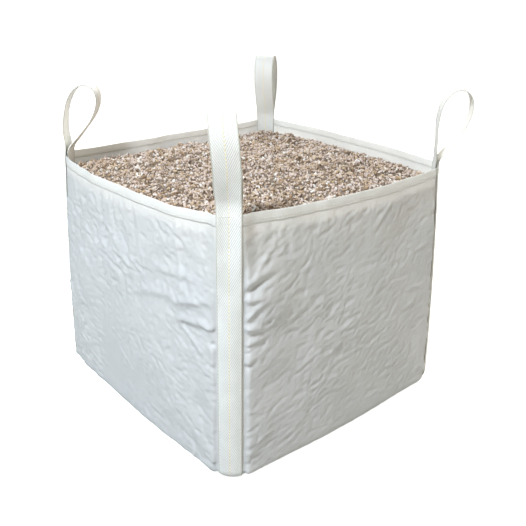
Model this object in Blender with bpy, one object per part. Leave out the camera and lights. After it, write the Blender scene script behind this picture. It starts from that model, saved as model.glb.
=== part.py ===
"""A filled four-loop bulk bag: woven panels, rim hems, corner webbing, lifting loops and its gravel load.

Metres, +Z up. The origin is the centre of the underside of the base, on the floor. The front panel faces
-Y and the left panel faces -X. Every soft part is a thin closed solid with a small gap to its neighbours.
"""

import bpy
import numpy as np

# ---- driving dimensions, in metres ----------------------------------------------------------------
HALF_WIDTH = (0.450, 0.4465, 0.435)  # half the plan width at the base, at half height and at the rim
BULGE = (0.028, 0.028, 0.021)  # how far the middle of a side stands proud of its corners, same heights
BULGE_POWER = 2.2
DEPTH_RATIO = 1.052  # plan length along Y over plan width along X
PLAN_SKEW = 0.029  # the filled bag sits slightly out of square: X moves by this share of Y
TAPER_X = -0.022  # and its width changes by this much for each metre along Y
TAPER_Y = -0.091  # and its length by this much for each metre along X
CORNER_POWER = 24.0  # squareness of the plan outline at its corners
BOTTOM_RADIUS = 0.033  # roll of fabric between the walls and the base

RIM_HEIGHT = {"front_left": 0.778, "front_right": 0.757, "back_right": 0.769, "back_left": 0.749}
RIM_SAG = {"front": 0.015, "right": -0.005, "back": 0.009, "left": 0.027}
SAG_POWER = 4.0

FABRIC = 0.0020  # panel thickness
HEM_HEIGHT = 0.030
HEM_PROUD = 0.0004  # the folded hem stands out from the panel on both faces
GAP = 0.0003  # air between touching solids

WEB_WIDTH = 0.070
WEB_THICKNESS = 0.0018
WEB_CLEARANCE = 0.0012  # outer strap above the panel, which leaves room for the hem
STRAP_START_TURN = 30.0  # degrees round the bottom roll where a corner strap ends
INNER_LEG_LENGTH = 0.220
INNER_LEG_DROP = 0.010  # the inner leg's solid stops this far below the rim

LOOP_PIVOT_RISE = 0.012  # hinge axis above the rim at each corner
LOOP_LENGTH = 0.228  # pivot to crest, along the loop
LOOP_LEG_OFFSET = 0.0014  # leg centre line to hinge axis at the root of the loop
LOOP_POWER = 1.25  # how long the two legs stay close before the loop opens
LOOP_STEPS = 32
LOOP_YAW_RISE = 0.10  # height over which a loop turns to its own heading
LOOP_SIDE_POWER = 1.5
# lean: degrees outward from vertical; half_gap: half the loop's widest opening; side: crest shift along
# the webbing's width; yaw: degrees the loop has turned about vertical
LOOPS = {
    "front_left": {"lean": 2.0, "half_gap": 0.046, "side": -0.016, "yaw": 10.0},
    "front_right": {"lean": 15.0, "half_gap": 0.046, "side": 0.004, "yaw": 0.0},
    "back_right": {"lean": 3.0, "half_gap": 0.045, "side": 0.004, "yaw": -6.0},
    "back_left": {"lean": -24.0, "half_gap": 0.047, "side": -0.004, "yaw": 2.0},
}

LOAD_DEPTH = 0.0065  # load surface inside the outer face of the wall
LOAD_EDGE_BELOW_RIM = 0.048
LOAD_MOUND = 0.014  # rise of the load from its edge to its crown
LOAD_CROWN_AT = (0.05, 0.08)
LOAD_CROWN_SPREAD = (0.22, 0.25)  # square metres over which the mound dies away along X and along Y
LOAD_WAVES = ((0.003, 9.0, 4.0, 0.6), (0.002, -5.0, 11.0, 2.1), (0.002, 15.0, 13.0, 4.0))

STITCH = 0.0006  # thickness of a stitching bead
STITCH_WIDTH = 0.0016
HEM_STITCH_DROP = 0.024  # hem stitching below the rim
STRAP_STITCH_INSET = 0.004  # strap stitching in from the webbing's edge
BAR_TACK_DROP = 0.014
BASE_SEAM_WIDTH = 0.009
BASE_SEAM_LAP = 0.0008  # how far the seam tape laps onto the wall panels
BASE_SEAM_THICKNESS = 0.0010

SIDES = {"front": -90.0, "right": 0.0, "back": 90.0, "left": 180.0}
CORNERS = {"front_left": -135.0, "front_right": -45.0, "back_right": 45.0, "back_left": 135.0}
SEAM_SHARE = 0.9992  # a panel stops this far along its side, so that two panels leave a gap at the corner
HALF_SIDE_SHARES = (0.25, 0.5, 0.7, 0.82, 0.89, 0.93, 0.96, 0.98)
STITCHED_SHARE = 0.89  # hem stitching stops clear of the corner straps
ROLL_TURNS = (0.0, 30.0, 60.0, 90.0)
WALL_ROWS = 6
WEB_COLUMNS = 7  # points across the webbing
STITCH_ROWS = 6
INNER_LEG_ROWS = 4
CORNER_SEARCH = 8.0  # degrees to each side of a corner that its webbing lies within
CORNER_SEARCH_STEPS = 65
CORNER_SPREAD = 2.0  # degrees to each side that the direction across a corner is taken over
LOAD_TURNS = (0.0, 45.0, 90.0)
LOAD_WALL_SHARES = (0.25, 0.5, 0.75)
LOAD_TOP_SHARES = (1.0, 0.9, 0.75, 0.6, 0.45, 0.3, 0.15)

FABRIC_WHITE = (0.78, 0.80, 0.81)
HEM_WHITE = (0.82, 0.82, 0.80)
WEB_WHITE = (0.84, 0.85, 0.83)
THREAD_WHITE = (0.74, 0.73, 0.68)
GRAVEL_TAN = (0.45, 0.38, 0.30)


# ---- the filled bag's surface --------------------------------------------------------------------
def through(values, share):
    """The parabola through three values at shares 0, 0.5 and 1."""
    low, middle, high = values
    ends = low * (1 - share) * (1 - 2 * share) + high * share * (2 * share - 1)
    return ends + 4 * middle * share * (1 - share)


def side_of(angle):
    """The side that a plan angle in degrees falls on, and its place along it from -1 to 1."""
    quarter = round(angle / 90.0)
    return quarter, np.tan(np.radians(angle - 90.0 * quarter))


def plan_point(angle, share, inset):
    """A point of the plan outline at one height share, drawn in by inset."""
    quarter, along = side_of(angle)
    reach = (through(HALF_WIDTH, share) - inset) * (1 + abs(along) ** CORNER_POWER) ** (-1 / CORNER_POWER)
    normal = reach + through(BULGE, share) * (1 - abs(along) ** BULGE_POWER)
    tangent = along * reach
    turn = np.radians(90.0 * quarter)
    x = normal * np.cos(turn) - tangent * np.sin(turn)
    y = normal * np.sin(turn) + tangent * np.cos(turn)
    return np.array([(x + PLAN_SKEW * y) * (1 + TAPER_X * y), DEPTH_RATIO * y * (1 + TAPER_Y * x)])


def rim_height(angle):
    """Height of the rim at a plan angle: straight between two corners, less that side's sag."""
    wrapped = (angle + 180.0) % 360.0 - 180.0
    quarter, along = side_of(wrapped)
    side = {-1: "front", 0: "right", 1: "back", 2: "left", -2: "left"}[quarter]
    order = {
        "front": ("front_left", "front_right"),
        "right": ("front_right", "back_right"),
        "back": ("back_right", "back_left"),
        "left": ("back_left", "front_left"),
    }[side]
    start, end = (RIM_HEIGHT[name] for name in order)
    return start + (end - start) * (along + 1) / 2 - RIM_SAG[side] * (1 - abs(along) ** SAG_POWER)


def wall_point(angle, height, depth):
    """A point of the upright wall, depth inside its outer face."""
    x, y = plan_point(angle, height / rim_height(angle), depth)
    return np.array([x, y, height])


def roll_point(angle, turn, depth):
    """A point of the bottom roll: turn 0 is its underside and 90 is where it meets the wall."""
    radius = BOTTOM_RADIUS - depth
    height = BOTTOM_RADIUS - radius * np.cos(np.radians(turn))
    inset = BOTTOM_RADIUS - radius * np.sin(np.radians(turn))
    x, y = plan_point(angle, height / rim_height(angle), inset)
    return np.array([x, y, height])


def side_angles(centre, last_share=SEAM_SHARE):
    """Plan angles along one side, closer together at its ends."""
    shares = [share for share in HALF_SIDE_SHARES if share < last_share] + [last_share]
    both = [-share for share in reversed(shares)] + [0.0] + shares
    return [centre + np.degrees(np.arctan(share)) for share in both]


def ring_angles(step=1):
    """Plan angles all the way round, from the same places as the panels."""
    shares = HALF_SIDE_SHARES[::step]
    both = [-1.0] + [-share for share in reversed(shares)] + [0.0] + list(shares)
    return [centre + np.degrees(np.arctan(share)) for centre in SIDES.values() for share in both]


def corner_angle(corner, across, height, depth):
    """The plan angle that lies across metres along the outline from a corner's middle."""
    angles = np.linspace(-CORNER_SEARCH, CORNER_SEARCH, CORNER_SEARCH_STEPS) + CORNERS[corner]
    points = np.array([wall_point(angle, height, depth)[:2] for angle in angles])
    lengths = np.concatenate([[0.0], np.cumsum(np.linalg.norm(np.diff(points, axis=0), axis=1))])
    middle = lengths[len(angles) // 2]
    return float(np.interp(across + middle, lengths, angles))


# ---- solids ---------------------------------------------------------------------------------------
def material(name, colour, roughness):
    made = bpy.data.materials.new(name)
    made.use_nodes = True
    shader = made.node_tree.nodes["Principled BSDF"]
    shader.inputs["Base Color"].default_value = (*colour, 1.0)
    shader.inputs["Roughness"].default_value = roughness
    shader.inputs["Metallic"].default_value = 0.0
    made.diffuse_color = (*colour, 1.0)
    return made


def add_object(name, points, faces, colour, roughness, parent=None):
    """A mesh object with its own material; under a parent, its mesh is held relative to that parent."""
    base = np.array(parent.location) if parent else np.zeros(3)
    mesh = bpy.data.meshes.new(name)
    mesh.from_pydata([tuple(point - base) for point in points], [], faces)
    mesh.materials.append(material(name, colour, roughness))
    mesh.validate()
    made = bpy.data.objects.new(name, mesh)
    bpy.context.scene.collection.objects.link(made)
    if parent:
        made.parent = parent
    return made


def slab(outer, inner, closed=False):
    """Points and triangles of a sheet between two grids of points, rows by columns.

    A column runs left to right as seen from outside and a row runs upwards. A closed sheet is a ring.
    """
    rows, columns = outer.shape[:2]
    points = np.concatenate([outer.reshape(-1, 3), inner.reshape(-1, 3)])
    back = rows * columns
    last = columns if closed else columns - 1
    faces = []

    def quad(a, b, c, d):
        faces.extend([(a, b, c), (a, c, d)])

    def index(row, column):
        return row * columns + column % columns

    for row in range(rows - 1):
        for column in range(last):
            a, b = index(row, column), index(row, column + 1)
            c, d = index(row + 1, column + 1), index(row + 1, column)
            quad(a, b, c, d)
            quad(back + a, back + d, back + c, back + b)
    for column in range(last):
        a, b = index(0, column), index(0, column + 1)
        quad(back + a, back + b, b, a)
        a, b = index(rows - 1, column), index(rows - 1, column + 1)
        quad(a, b, back + b, back + a)
    if not closed:
        for row in range(rows - 1):
            a, b = index(row, 0), index(row + 1, 0)
            quad(back + a, a, b, back + b)
            a, b = index(row, columns - 1), index(row + 1, columns - 1)
            quad(a, back + a, back + b, b)
    return points, faces


def wall_sheet(angles, heights, near, far):
    """A sheet of wall between two depths; heights gives, for one angle, the list of row heights."""
    outer = np.array([[wall_point(angle, z, near) for z in heights(angle)] for angle in angles])
    inner = np.array([[wall_point(angle, z, far) for z in heights(angle)] for angle in angles])
    return slab(outer.swapaxes(0, 1), inner.swapaxes(0, 1))


def panel(side):
    """One side panel, from the base round the bottom roll and up to the hem."""
    angles = side_angles(SIDES[side])

    def column(angle, depth):
        top = rim_height(angle) - HEM_HEIGHT - GAP
        heights = np.linspace(BOTTOM_RADIUS, top, WALL_ROWS + 1)[1:]
        rolled = [roll_point(angle, turn, depth) for turn in ROLL_TURNS]
        return rolled + [wall_point(angle, z, depth) for z in heights]

    outer = np.array([column(angle, 0.0) for angle in angles]).swapaxes(0, 1)
    inner = np.array([column(angle, FABRIC) for angle in angles]).swapaxes(0, 1)
    add_object(f"{side}_panel", *slab(outer, inner), FABRIC_WHITE, 0.55)


def hem(side):
    """The folded band along one side's rim, with its row of stitching."""
    angles = side_angles(SIDES[side])
    points, faces = wall_sheet(
        angles,
        lambda angle: [rim_height(angle) - HEM_HEIGHT, rim_height(angle)],
        -HEM_PROUD,
        FABRIC + HEM_PROUD,
    )
    add_object(f"{side}_hem", points, faces, HEM_WHITE, 0.6)
    near = -HEM_PROUD - GAP
    points, faces = wall_sheet(
        side_angles(SIDES[side], STITCHED_SHARE),
        lambda angle: [rim_height(angle) - drop for drop in (HEM_STITCH_DROP + STITCH_WIDTH, HEM_STITCH_DROP)],
        near - STITCH,
        near,
    )
    add_object(f"{side}_hem_stitching", points, faces, THREAD_WHITE, 0.7)


def base():
    """The flat base panel on the floor, and the seam tape that joins it to the walls inside the bag."""
    angles = ring_angles()
    rim = [plan_point(angle, 0.0, BOTTOM_RADIUS + GAP) for angle in angles]
    count = len(rim)
    points = [np.array([x, y, z]) for z in (0.0, FABRIC) for x, y in rim]
    points += [np.array([0.0, 0.0, 0.0]), np.array([0.0, 0.0, FABRIC])]
    faces = []
    for here in range(count):
        after = (here + 1) % count
        faces.extend([(2 * count, after, here), (2 * count + 1, count + here, count + after)])
        faces.extend([(here, after, count + after), (here, count + after, count + here)])
    add_object("base_panel", points, faces, FABRIC_WHITE, 0.55)

    low = FABRIC + GAP
    high = low + BASE_SEAM_THICKNESS

    def ring(inset, height):
        flat = [plan_point(angle, 0.0, inset) for angle in ring_angles(2)]
        return [np.array([x, y, height]) for x, y in flat]

    wide = BOTTOM_RADIUS - BASE_SEAM_LAP
    narrow = wide + BASE_SEAM_WIDTH
    outer = np.array([ring(wide, low), ring(wide, high)])
    inner = np.array([ring(narrow, low), ring(narrow, high)])
    add_object("base_seam", *slab(outer, inner, closed=True), THREAD_WHITE, 0.7)


def web_sheet(corner, acrosses, rows, near, far):
    """Webbing wrapped on a corner: rows gives (kind, value) for each row, roll turns then wall heights."""

    def grid(depth):
        made = []
        for kind, value in rows:
            height = value if kind == "wall" else BOTTOM_RADIUS
            angles = [corner_angle(corner, across, height, depth) for across in acrosses]
            place = wall_point if kind == "wall" else roll_point
            made.append([place(angle, value, depth) for angle in angles])
        return np.array(made)

    return slab(grid(near), grid(far))


def corner_webbing(corner):
    """The outer strap, the inner leg behind the rim, and their stitching at one corner."""
    half = WEB_WIDTH / 2
    acrosses = np.linspace(-half, half, WEB_COLUMNS)
    top = rim_height(CORNERS[corner])
    near = -WEB_CLEARANCE - WEB_THICKNESS
    turns = [("roll", turn) for turn in ROLL_TURNS if turn >= STRAP_START_TURN]
    heights = [("wall", z) for z in np.linspace(BOTTOM_RADIUS, top, WALL_ROWS + 1)[1:]]
    strap = web_sheet(corner, acrosses, turns + heights, near, -WEB_CLEARANCE)
    add_object(f"{corner}_strap", *strap, WEB_WHITE, 0.6)

    leg_top = top - INNER_LEG_DROP
    leg_near = FABRIC + WEB_CLEARANCE
    rows = [("wall", z) for z in np.linspace(leg_top - INNER_LEG_LENGTH, leg_top, INNER_LEG_ROWS)]
    leg = web_sheet(corner, acrosses, rows, leg_near, leg_near + WEB_THICKNESS)
    add_object(f"{corner}_inner_leg", *leg, WEB_WHITE, 0.6)

    bead = near - GAP
    line = half - STRAP_STITCH_INSET
    low, high = 2 * BOTTOM_RADIUS, top - 2 * BAR_TACK_DROP
    rows = [("wall", z) for z in np.linspace(low, high, STITCH_ROWS)]
    for name, centre in (("left", -line), ("right", line)):
        edges = (centre - STITCH_WIDTH / 2, centre + STITCH_WIDTH / 2)
        seam = web_sheet(corner, edges, rows, bead - STITCH, bead)
        add_object(f"{corner}_stitching_{name}", *seam, THREAD_WHITE, 0.7)
    tack_top = top - BAR_TACK_DROP
    rows = [("wall", tack_top - 2 * STITCH_WIDTH), ("wall", tack_top)]
    tack = web_sheet(corner, np.linspace(-line, line, WEB_COLUMNS), rows, bead - STITCH, bead)
    add_object(f"{corner}_bar_tack", *tack, THREAD_WHITE, 0.7)


# ---- lifting loops --------------------------------------------------------------------------------
def corner_frame(corner):
    """A loop's pivot, the outward direction and the direction across the webbing."""
    angle = CORNERS[corner]
    top = rim_height(angle)
    ahead = wall_point(angle + CORNER_SPREAD, top, FABRIC / 2)
    behind = wall_point(angle - CORNER_SPREAD, top, FABRIC / 2)
    across = np.array([*(ahead - behind)[:2], 0.0])
    across /= np.linalg.norm(across)
    outward = np.cross(across, [0.0, 0.0, 1.0])
    pivot = wall_point(angle, top, FABRIC / 2) + np.array([0.0, 0.0, LOOP_PIVOT_RISE])
    return pivot, outward, across


def loop_line(corner):
    """Centre line of one loop as (outward, up) pairs: up the outer leg, over the crest, down the inner."""
    shape = LOOPS[corner]
    turns = np.linspace(0.0, 2 * np.pi, LOOP_STEPS + 1)
    bow = np.sin(turns) * np.abs(np.sin(turns / 2)) ** LOOP_POWER
    opening = (shape["half_gap"] - WEB_THICKNESS / 2) * bow / bow.max()
    root = LOOP_LEG_OFFSET * np.sign(np.pi - turns) * np.cos(turns / 2) ** 2
    rise = LOOP_LENGTH * (1 - np.cos(turns)) / 2
    return opening + root, rise


def lift_loop(corner):
    """One lifting loop, a closed strip of webbing bent in the upright plane through its corner."""
    shape = LOOPS[corner]
    pivot, outward, across = corner_frame(corner)
    up = np.array([0.0, 0.0, 1.0])
    opening, rise = loop_line(corner)
    lean = np.radians(shape["lean"])
    leaned_out = opening * np.cos(lean) + rise * np.sin(lean)
    leaned_up = rise * np.cos(lean) - opening * np.sin(lean)
    line = np.stack([leaned_out, leaned_up], 1)
    along = np.gradient(line, axis=0)
    along /= np.linalg.norm(along, axis=1)[:, None]
    rings = []
    for (out, high), (go_out, go_up) in zip(line, along):
        grown = min(max(high / LOOP_YAW_RISE, 0.0), 1.0)
        yaw = np.radians(shape["yaw"]) * grown**2 * (3 - 2 * grown)
        axis_out = out * np.cos(yaw)
        axis_side = out * np.sin(yaw) + shape["side"] * (max(high, 0.0) / LOOP_LENGTH) ** LOOP_SIDE_POWER
        heading = outward * np.cos(yaw) + across * np.sin(yaw)
        width = across * np.cos(yaw) - outward * np.sin(yaw)
        centre = pivot + outward * axis_out + across * axis_side + up * high
        normal = heading * go_up - up * go_out
        half_w, half_t = WEB_WIDTH / 2, WEB_THICKNESS / 2
        corners = ((-half_w, half_t), (half_w, half_t), (half_w, -half_t), (-half_w, -half_t))
        rings.append([centre + width * w + normal * t for w, t in corners])
    points = [point for ring in rings for point in ring]
    faces = []
    for step in range(LOOP_STEPS):
        for edge in range(4):
            a, b = 4 * step + edge, 4 * step + (edge + 1) % 4
            faces.extend([(a, b, b + 4), (a, b + 4, a + 4)])
    last = 4 * LOOP_STEPS
    faces.extend([(0, 2, 1), (0, 3, 2), (last, last + 1, last + 2), (last, last + 2, last + 3)])
    hinge = bpy.data.objects.new(f"{corner}_hinge", None)
    hinge.location = tuple(pivot)
    bpy.context.scene.collection.objects.link(hinge)
    add_object(f"{corner}_lift_loop", points, faces, WEB_WHITE, 0.6, parent=hinge)


# ---- the load -------------------------------------------------------------------------------------
def load_height(angle, share):
    """Height of the load's surface: it follows the rim at its edge and swells to a lumpy crown."""
    edge = rim_height(angle) - LOAD_EDGE_BELOW_RIM
    mean = np.mean(list(RIM_HEIGHT.values())) - LOAD_EDGE_BELOW_RIM
    x, y = plan_point(angle, 1.0, LOAD_DEPTH) * share
    swell = 1.0
    for place, crown, spread in zip((x, y), LOAD_CROWN_AT, LOAD_CROWN_SPREAD):
        swell -= (place - crown) ** 2 / spread
    lumps = sum(size * np.sin(kx * x + ky * y + phase) for size, kx, ky, phase in LOAD_WAVES)
    fade = 1 - share**4
    return edge * share**3 + mean * (1 - share**3) + (LOAD_MOUND * max(swell, 0.0) + lumps) * fade


def load():
    """The gravel, one solid that fills the bag to just below its rim."""
    angles = ring_angles(2)
    floor_rings = [[roll_point(angle, turn, LOAD_DEPTH) for angle in angles] for turn in LOAD_TURNS]
    walls = []
    for share in LOAD_WALL_SHARES:
        ring = []
        for angle in angles:
            top = load_height(angle, 1.0)
            ring.append(wall_point(angle, BOTTOM_RADIUS + share * (top - BOTTOM_RADIUS), LOAD_DEPTH))
        walls.append(ring)
    top_rings = []
    for share in LOAD_TOP_SHARES:
        ring = []
        for angle in angles:
            edge = wall_point(angle, load_height(angle, 1.0), LOAD_DEPTH)
            ring.append(np.array([edge[0] * share, edge[1] * share, load_height(angle, share)]))
        top_rings.append(ring)
    rings = floor_rings + walls + top_rings
    count = len(angles)
    points = [point for ring in rings for point in ring]
    points += [np.array([0.0, 0.0, LOAD_DEPTH]), np.array([0.0, 0.0, load_height(0.0, 0.0)])]
    faces = []
    for level in range(len(rings) - 1):
        for here in range(count):
            a, b = level * count + here, level * count + (here + 1) % count
            faces.extend([(a, b, b + count), (a, b + count, a + count)])
    crown = (len(rings) - 1) * count
    for here in range(count):
        after = (here + 1) % count
        faces.append((len(points) - 2, after, here))
        faces.append((len(points) - 1, crown + here, crown + after))
    add_object("gravel_load", points, faces, GRAVEL_TAN, 0.9)


# ---- the model ------------------------------------------------------------------------------------
def main():
    for old in list(bpy.data.objects):
        bpy.data.objects.remove(old, do_unlink=True)
    base()
    for side in SIDES:
        panel(side)
        hem(side)
    for corner in CORNERS:
        corner_webbing(corner)
        lift_loop(corner)
    load()


main()
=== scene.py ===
"""A filled four-loop bulk bag: woven cloth panels, folded rim hems, herringbone corner webbing and gravel.

Metres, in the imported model's frame. The bag's surface repeats the formulas of its CAD source.
"""

import math

import bpy
import numpy as np
from mathutils import Matrix, Vector


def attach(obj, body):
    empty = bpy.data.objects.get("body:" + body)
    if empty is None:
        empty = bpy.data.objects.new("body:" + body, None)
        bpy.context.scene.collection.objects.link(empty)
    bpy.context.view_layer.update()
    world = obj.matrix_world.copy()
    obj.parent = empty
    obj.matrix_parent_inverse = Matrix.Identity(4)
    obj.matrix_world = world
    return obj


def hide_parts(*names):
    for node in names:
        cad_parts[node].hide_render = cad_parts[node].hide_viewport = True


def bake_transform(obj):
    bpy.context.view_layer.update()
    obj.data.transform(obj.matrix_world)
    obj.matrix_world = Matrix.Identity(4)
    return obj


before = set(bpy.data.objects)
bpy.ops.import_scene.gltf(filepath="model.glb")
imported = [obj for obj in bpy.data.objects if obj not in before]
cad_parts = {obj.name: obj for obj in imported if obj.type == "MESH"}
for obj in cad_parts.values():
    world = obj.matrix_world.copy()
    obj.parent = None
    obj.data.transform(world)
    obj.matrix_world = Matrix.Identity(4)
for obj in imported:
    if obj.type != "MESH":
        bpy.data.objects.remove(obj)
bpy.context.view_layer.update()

# ---- the bag's surface, as its CAD source has it ----
HALF_WIDTH = (0.450, 0.4465, 0.435)
BULGE = (0.028, 0.028, 0.021)
BULGE_POWER = 2.2
DEPTH_RATIO = 1.052
PLAN_SKEW = 0.029
TAPER_X = -0.022
TAPER_Y = -0.091
CORNER_POWER = 24.0
BOTTOM_RADIUS = 0.033
RIM_HEIGHT = {"front_left": 0.778, "front_right": 0.757, "back_right": 0.769, "back_left": 0.749}
RIM_SAG = {"front": 0.015, "right": -0.005, "back": 0.009, "left": 0.027}
SAG_POWER = 4.0
CAD_FABRIC = 0.0020
WEB_WIDTH = 0.070
WEB_THICKNESS = 0.0018
WEB_CLEARANCE = 0.0012
STRAP_START_TURN = 30.0
INNER_LEG_LENGTH = 0.220
LOOP_PIVOT_RISE = 0.012
LOOP_LENGTH = 0.228
LOOP_LEG_OFFSET = 0.0014
LOOP_POWER = 1.25
LOOP_YAW_RISE = 0.10
LOOP_SIDE_POWER = 1.5
LOOPS = {
    "front_left": {"lean": 2.0, "half_gap": 0.046, "side": -0.016, "yaw": 10.0},
    "front_right": {"lean": 15.0, "half_gap": 0.046, "side": 0.004, "yaw": 0.0},
    "back_right": {"lean": 3.0, "half_gap": 0.045, "side": 0.004, "yaw": -6.0},
    "back_left": {"lean": -24.0, "half_gap": 0.047, "side": -0.004, "yaw": 2.0},
}
LOAD_DEPTH = 0.0065
LOAD_EDGE_BELOW_RIM = 0.048
LOAD_MOUND = 0.014
LOAD_CROWN_AT = (0.05, 0.08)
LOAD_CROWN_SPREAD = (0.22, 0.25)
LOAD_WAVES = ((0.003, 9.0, 4.0, 0.6), (0.002, -5.0, 11.0, 2.1), (0.002, 15.0, 13.0, 4.0))
SIDES = {"front": -90.0, "right": 0.0, "back": 90.0, "left": 180.0}
SIDE_OF_QUARTER = {-2: "left", -1: "front", 0: "right", 1: "back", 2: "left"}
SIDE_ENDS = {
    "front": ("front_left", "front_right"),
    "right": ("front_right", "back_right"),
    "back": ("back_right", "back_left"),
    "left": ("back_left", "front_left"),
}
CORNERS = {"front_left": -135.0, "front_right": -45.0, "back_right": 45.0, "back_left": 135.0}

# ---- the looks' own dimensions ----
CLOTH = 0.0008
CELL = 0.0050
HEM_HEIGHT = 0.030
HEM_CLOTH = 0.0009
HEM_AIR = 0.0002
HEM_ROWS = 7
HEM_FOLD_TURNS = (0.2, 0.9, 1.57, 2.24, 2.94)
HEM_STITCH_ROWS = (0.0190, 0.0250)
HEM_INNER_DROP = 0.0245
PANEL_DROP = 0.0248
WEB_STEP = 0.0022
RIB_PITCH = 0.0054
RIB_STEEPNESS = 1.8
RIB_HEIGHT = 0.00038
STITCH_LENGTH = 0.0080
STITCH_GAP = 0.0028
THREAD_RADIUS = 0.00055
RULER_POINTS = 1601
LOOP_POINTS = 1201
SIDE_TRIM = 0.0004
FREE_FROM = 0.037
HEM_FOLD_DROP = 0.001
HEM_FLAT_DROP = 0.003
CORNER_SPAN = 9.0
CORNER_STEPS = 145
ROOT_ROWS_ON_BAG = 5
ROOT_ROWS_ON_LOOP = 16
ROOT_SMOOTHINGS = 40
BEND_BELOW = 0.010
BEND_ABOVE = 0.026

# ---- camera ----
CAMERA_TARGET = (0.0625, 0.0, 0.378)
SENSOR_WIDTH = 36.0
CLIP_NEAR = 0.05
CLIP_FAR = 300.0


def direction(azimuth, elevation):
    """The direction from the bag in which a camera or a light stands."""
    turn, rise = math.radians(azimuth), math.radians(elevation)
    return Vector((math.sin(turn) * math.cos(rise), -math.cos(turn) * math.cos(rise), math.sin(rise)))


def link_object(name, data):
    """A new object of the scene that shows some data."""
    made = bpy.data.objects.new(name, data)
    bpy.context.scene.collection.objects.link(made)
    return made


def add_camera(azimuth, elevation, roll, distance, target, lens):
    """The scene's camera, which looks at the target from a distance."""
    tilt = math.radians(roll)
    back = direction(azimuth, elevation)
    right = (-back).cross(Vector((0.0, 0.0, 1.0))).normalized()
    up = right.cross(-back)
    rolled_right = right * math.cos(tilt) + up * math.sin(tilt)
    rolled_up = up * math.cos(tilt) - right * math.sin(tilt)
    data = bpy.data.cameras.new("camera")
    data.lens = lens
    data.sensor_width = SENSOR_WIDTH
    data.clip_start = CLIP_NEAR
    data.clip_end = CLIP_FAR
    camera = link_object("camera", data)
    turned = Matrix((rolled_right, rolled_up, back)).transposed().to_4x4()
    camera.matrix_world = Matrix.Translation(Vector(target) + back * distance) @ turned
    bpy.context.scene.camera = camera


add_camera(azimuth=-40.283, elevation=21.396, roll=0.5945, distance=2.6455, target=CAMERA_TARGET, lens=52.58)


# ---- numbers along the surface ----
def smooth(value):
    """0 below 0, 1 above 1 and an even S between."""
    clipped = np.clip(value, 0.0, 1.0)
    return clipped * clipped * (3 - 2 * clipped)


def hump(distance, width):
    """A smooth hump that is 1 at distance 0."""
    return np.exp(-((distance / width) ** 2))


def faded(distance, reach):
    """1 up to distance 0, then less and less over reach."""
    return np.exp(-np.maximum(distance, 0.0) / reach)


def running_lengths(*coordinates):
    """Distance along a line of points from its first one to each."""
    steps = np.sqrt(sum(np.diff(values) ** 2 for values in coordinates))
    return np.concatenate([[0.0], np.cumsum(steps)])


def through(values, share):
    """The parabola through three values at shares 0, 0.5 and 1."""
    low, middle, high = values
    below = low * (1 - share) * (1 - 2 * share) + 4 * middle * share * (1 - share)
    return below + high * share * (2 * share - 1)


def quarter_and_along(angle):
    """Which side plan angles look at, in quarter turns, and how far along it they are, from -1 to 1."""
    quarter = np.round(np.asarray(angle, float) / 90.0)
    return quarter, np.tan(np.radians(angle - 90.0 * quarter))


def plan_points(angle, share, lift):
    """Plan outline at height shares, pushed out by lift."""
    quarter, along = quarter_and_along(angle)
    reach = (through(HALF_WIDTH, share) + lift) * (1 + np.abs(along) ** CORNER_POWER) ** (-1 / CORNER_POWER)
    normal = reach + through(BULGE, share) * (1 - np.abs(along) ** BULGE_POWER)
    tangent = along * reach
    turn = np.radians(90.0 * quarter)
    x = normal * np.cos(turn) - tangent * np.sin(turn)
    y = normal * np.sin(turn) + tangent * np.cos(turn)
    return (x + PLAN_SKEW * y) * (1 + TAPER_X * y), DEPTH_RATIO * y * (1 + TAPER_Y * x)


def rim_heights(angle):
    """Height of the rim at plan angles."""
    wrapped = (np.asarray(angle, float) + 180.0) % 360.0 - 180.0
    quarter, along = quarter_and_along(wrapped)
    height = np.zeros(wrapped.shape)
    for number, side in SIDE_OF_QUARTER.items():
        start, end = (RIM_HEIGHT[name] for name in SIDE_ENDS[side])
        here = start + (end - start) * (along + 1) / 2 - RIM_SAG[side] * (1 - np.abs(along) ** SAG_POWER)
        height = np.where(quarter == number, here, height)
    return height


def wall_points(angle, height, lift):
    """Points of the upright wall, lift outside the bag's outer face."""
    angle, height, lift = np.broadcast_arrays(angle, height, lift)
    x, y = plan_points(angle, height / rim_heights(angle), lift)
    return np.stack([x, y, height], axis=-1)


def roll_points(angle, turn, lift):
    """Points of the bottom roll: turn 0 is its underside and 90 is where it meets the wall."""
    angle, turn, lift = np.broadcast_arrays(angle, turn, lift)
    radius = BOTTOM_RADIUS + lift
    height = BOTTOM_RADIUS - radius * np.cos(np.radians(turn))
    inset = BOTTOM_RADIUS - radius * np.sin(np.radians(turn))
    x, y = plan_points(angle, height / rim_heights(angle), -inset)
    return np.stack([x, y, height], axis=-1)


def side_ruler(side):
    """Plan angles along one side at half height, and their arc length from the side's middle."""
    angles = SIDES[side] + np.degrees(np.arctan(np.linspace(-1.0, 1.0, RULER_POINTS)))
    lengths = running_lengths(*plan_points(angles, 0.5, 0.0))
    return angles, lengths - lengths[-1] / 2


RULERS = {side: side_ruler(side) for side in SIDES}
HALF_SIDE = {side: float(ruler[1][-1]) for side, ruler in RULERS.items()}

# ---- seeded relief ----
# In this section a number that divides s, z, drop or beyond is the length in metres over which a shape
# runs or fades. One that multiplies a noise or a sine is its height in metres, except in strength, and the
# numbers that multiply crinkles of a panel are shares of the height in its grain.
NOISE_CELLS = 61
NOISE_GAIN = 1.5
NOISE_SHIFT = 500.0
WARP = 0.010
WARP_SPAN = 0.08
CRINKLE_MEAN = 0.35
CREASE_BLUNTNESS = 0.004
CRINKLE_TILT = 0.45
FOLD_BOW = 0.18
FOLD_VALLEY = 0.45


def quintic(near):
    """An S from 0 to 1 that starts and ends level and straight."""
    return near**3 * (near * (near * 6 - 15) + 10)


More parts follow.
